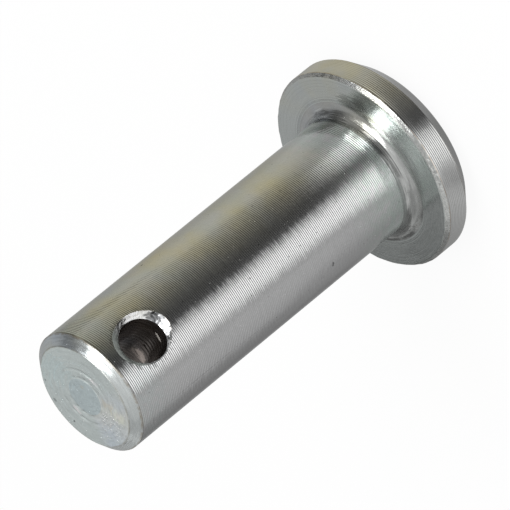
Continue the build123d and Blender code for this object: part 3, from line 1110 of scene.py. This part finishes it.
def discPoints():
    # Each landing line starts on the shank's circle, and a row of the disc is where the lines cross one
    # distance from the axis: the root of |shank + t * line| = distance. Gives the points in millimetres,
    # and t, the line's bearing and the distance of each
    start, lines = discColumns()
    away = np.radians(lines - start)
    onwards = np.geomspace(studio["discFrom"], studio["tentRadius"] / millimetre, studio["discRows"])
    distance = np.concatenate([studio["discStart"], onwards])
    level = pin["shankRadius"] * np.cos(away)[None]
    reach = -level + np.sqrt(level ** 2 + distance[:, None] ** 2 - pin["shankRadius"] ** 2)
    points = pin["shankRadius"] * facing(start)[None] + reach[..., None] * facing(lines)[None]
    lines, distance = np.broadcast_arrays(lines, distance[:, None])
    return points, reach, lines, distance


def buildTent():
    # A disc just over the floor, from under the head's chamfer outwards, that rises into a dome. Only
    # the metal's reflections see it
    points, reach, lines, distance = discPoints()
    bearing = np.degrees(np.arctan2(points[..., 0], -points[..., 1]))
    tone = lookUp(floorTones, lines)
    far = softStep(distance, studio["farStart"], studio["farEnd"])
    tone = tone * (1 - far) + lookUp(farTones, lines) * far
    patch = softStep(reach, *studio["patchReach"])
    tone = tone * (1 - patch) + lookUp(patchTones, lines) * patch
    close = softStep(reach, *studio["rimReach"])
    tone = tone * (1 - close) + lookUp(rimTones, lines) * close
    under = softStep(distance, *studio["underReach"])
    tone = tone * (1 - under) + lookUp(chamferTones, bearing) * under

    rise = np.linspace(0.0, 90.0, studio["domeRows"] + 1)[1:]
    edge = points[-1] * millimetre
    climb = np.radians(rise)[:, None, None]
    up = np.broadcast_to(studio["tentRadius"] * np.sin(climb), (len(rise), len(edge), 1))
    dome = np.concatenate([edge[None] * np.cos(climb), up], -1)
    floorZ = np.full((*reach.shape, 1), studio["tentGap"] * millimetre)
    grid = np.concatenate([np.concatenate([points * millimetre, floorZ], -1), dome])
    heights = np.array(sorted(domeTones))
    levels = np.stack([lookUp(domeTones[h], bearing[-1]) for h in heights])
    below = np.clip(np.searchsorted(heights, rise) - 1, 0, len(heights) - 2)
    share = np.clip((rise - heights[below]) / (heights[below + 1] - heights[below]), 0.0, 1.0)[:, None]
    walls = levels[below] * (1 - share) + levels[below + 1] * share
    glowing("lightTent", grid, np.concatenate([tone, walls]))


# Cards that stand in the tent: (bearing of the middle, degrees wide), distance, foot and top in
# millimetres, and the tone at either end and between. The two low ones are too far off for the shank
# to mirror, so they only darken the root and the seat's edge; the hanging one darkens the seat's side
cards = {
    "lowCardA": {"bearings": (-140, 64), "distance": 75.0, "heights": (0.5, 25.0),
                 "tones": (0.36, 0.22, 0.34),
                 "softness": 0.15},
    "lowCardB": {"bearings": (109, 54), "distance": 75.0, "heights": (0.5, 38.0),
                 "tones": (0.36, 0.14, 0.34),
                 "softness": 0.15},
    "hangingCard": {"bearings": (-168, 40), "distance": 150.0, "heights": (58.0, 114.0),
                    "tones": (0.36, 0.14, 0.45),
                    "softness": 0.20},
}


cardGrid = (8, 41)  # rows and columns


def buildCards():
    # Each card is a piece of a cylinder round the pin, whose tone runs smoothly from its ends to its middle
    for name, card in cards.items():
        middle, wide = card["bearings"]
        place = np.linspace(0.0, 1.0, cardGrid[1])
        level = facing(middle + wide * (place - 0.5)) * card["distance"]
        height = np.linspace(*card["heights"], cardGrid[0])
        grid = np.concatenate([np.broadcast_to(level[None], (*cardGrid, 2)),
                               np.broadcast_to(height[:, None, None], (*cardGrid, 1))], -1)
        first, between, last = card["tones"]
        share = softStep(np.minimum(place, 1 - place), 0.0, card["softness"])
        tone = np.where(place < 0.5, first, last) * (1 - share) + between * share
        glowing(name, grid * millimetre, np.broadcast_to(tone, cardGrid))


def glowing(name, grid, tone):
    # A surface that shines with its own tone at each point, and that only glossy rays meet
    mesh = bpy.data.meshes.new(name)
    mesh.from_pydata(grid.reshape(-1, 3).tolist(), [], gridFaces(*grid.shape[:2], 0).tolist())
    made = mesh.attributes.new("tone", "FLOAT", "POINT")
    made.data.foreach_set("value", tone.ravel().astype(np.float32))
    shape = bpy.data.objects.new(name, mesh)
    bpy.context.scene.collection.objects.link(shape)
    material = bpy.data.materials.new(name + "Cloth")
    material.use_nodes = True
    tree = material.node_tree
    tree.nodes.clear()
    tones = tree.nodes.new("ShaderNodeAttribute")
    tones.attribute_name = "tone"
    glow = tree.nodes.new("ShaderNodeEmission")
    out = tree.nodes.new("ShaderNodeOutputMaterial")
    tree.links.new(tones.outputs["Fac"], glow.inputs["Strength"])
    tree.links.new(glow.outputs[0], out.inputs["Surface"])
    mesh.materials.append(material)
    shape.visible_camera = False
    shape.visible_diffuse = False
    shape.visible_shadow = False
    shape.visible_transmission = False


def seenAsWhite(tree):
    # 1 where a camera, glossy or transmission ray lands, else 0
    path = tree.nodes.new("ShaderNodeLightPath")
    seen = maths(tree, "MAXIMUM", path.outputs["Is Camera Ray"], path.outputs["Is Glossy Ray"])
    return maths(tree, "MAXIMUM", seen, path.outputs["Is Transmission Ray"])


def buildFloor():
    # White paper that takes the pin's shadow: its own light mixed into a plain white where it is seen
    bpy.ops.mesh.primitive_plane_add(size=12.0)
    floor = bpy.context.object
    floor.name = "studioFloor"
    material = bpy.data.materials.new("floorPaper")
    material.use_nodes = True
    tree = material.node_tree
    tree.nodes.clear()
    paper = tree.nodes.new("ShaderNodeBsdfDiffuse")
    paper.inputs["Color"].default_value = (0.95, 0.95, 0.95, 1.0)
    white = tree.nodes.new("ShaderNodeEmission")
    mix = tree.nodes.new("ShaderNodeMixShader")
    out = tree.nodes.new("ShaderNodeOutputMaterial")
    tree.links.new(times(tree, seenAsWhite(tree), 1.0 - studio["floorShadow"]), mix.inputs[0])
    tree.links.new(paper.outputs[0], mix.inputs[1])
    tree.links.new(white.outputs[0], mix.inputs[2])
    tree.links.new(mix.outputs[0], out.inputs["Surface"])
    floor.data.materials.append(material)


def buildWorld():
    # A plain pale light from all round, and white where it is seen
    world = bpy.data.worlds.new("studioWorld")
    bpy.context.scene.world = world
    world.use_nodes = True
    tree = world.node_tree
    strength = scaled(tree, seenAsWhite(tree), 1.0 - studio["worldStrength"], studio["worldStrength"])
    tree.links.new(strength, tree.nodes["Background"].inputs["Strength"])
    tree.nodes["Background"].inputs["Color"].default_value = (1.0, 1.0, 1.0, 1.0)


def hangLamp():
    # A rectangular soft lamp facing the middle of the pin
    data = bpy.data.lights.new("mainLamp", "AREA")
    data.shape = "RECTANGLE"
    data.size = studio["lampWidth"]
    data.size_y = studio["lampHeight"]
    data.energy = studio["lampPower"]
    lamp = bpy.data.objects.new("mainLamp", data)
    bpy.context.scene.collection.objects.link(lamp)
    target = Vector((0.0, 0.0, cadHigh.z / 2))
    away = outwards(studio["lampBearing"], studio["lampElevation"]) * studio["lampDistance"]
    lamp.location = target + away
    lamp.rotation_euler = (target - lamp.location).to_track_quat("-Z", "Y").to_euler()
    lamp.visible_camera = False


buildTent()
buildCards()
buildFloor()
buildWorld()
hangLamp()
bpy.context.scene.view_settings.view_transform = "Standard"
print("studio lit")
